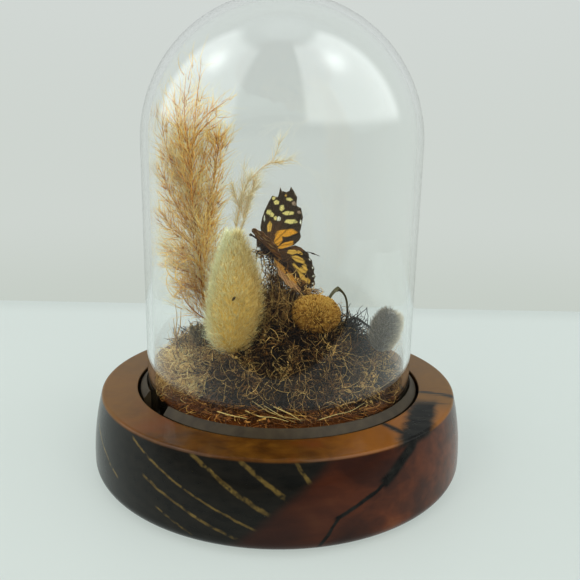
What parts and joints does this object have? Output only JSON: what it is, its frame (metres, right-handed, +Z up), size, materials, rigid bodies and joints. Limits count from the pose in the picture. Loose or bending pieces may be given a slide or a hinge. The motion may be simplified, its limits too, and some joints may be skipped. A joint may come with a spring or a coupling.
{
  "type": "bell jar dome",
  "caption": "Glass bell jar on a turned, varnished wooden base, over dried moss, grasses, a button flower, a catkin and a butterfly; the dome lifts off.",
  "frame": {"origin": "centre of the underside of the base, on the surface it stands on", "axes": "+Z up along the dome's axis; -Y is the viewing side; +X to the viewer's right"},
  "size_m": [0.1392, 0.1392, 0.1666],
  "materials": {
    "felt": "brushed",
    "varnished_wood": "gloss",
    "soft_strip": "matte",
    "clear_glass": "gloss",
    "coir": "matte",
    "florist_foam": "matte",
    "dark_moss": "matte",
    "pale_moss": "matte",
    "reed": "matte",
    "tan_plume": "matte",
    "pale_plume": "matte",
    "cream_hair": "matte",
    "golden_floret": "matte",
    "dark_twig": "matte",
    "grey_catkin": "matte",
    "brown_bud": "matte",
    "dry_leaf": "satin",
    "straw": "satin",
    "wire": "satin",
    "insect_body": "matte",
    "wing": "satin"
  },
  "bodies": {
    "base": {"felt_pad": "felt", "base_block": "varnished_wood", "seat_strip": "soft_strip", "coir_mat": "coir", "foam_core": "florist_foam", "moss_mound": "dark_moss", "moss_pad_left": "pale_moss", "reed_stem_tall": "reed", "reed_stem_short": "reed", "reed_plume_tall": "tan_plume", "reed_plume_short": "pale_plume", "bunny_tail_stem": "reed", "bunny_tail_head": "cream_hair", "button_flower_stem": "reed", "button_flower_head": "golden_floret", "catkin_stem": "dark_twig", "catkin_head": "grey_catkin", "brown_bud": "brown_bud", "curled_leaf": "dry_leaf", "wiry_twigs": "dark_twig", "grass_sprig": "reed", "loose_straws": "straw", "butterfly_wire": "wire", "butterfly_body": "insect_body", "forewing_right": "wing", "forewing_left": "wing", "hindwing_right": "wing", "hindwing_left": "wing", "antenna_left": "insect_body", "antenna_right": "insect_body", "butterfly_legs": "insect_body"},
    "dome": {"glass_dome": "clear_glass"}
  },
  "joints": [
    {"name": "dome_lift", "type": "slide", "parent": "base", "child": "dome", "axis": [0, 0, 1], "range_m": [0, 0.15]}
  ]
}
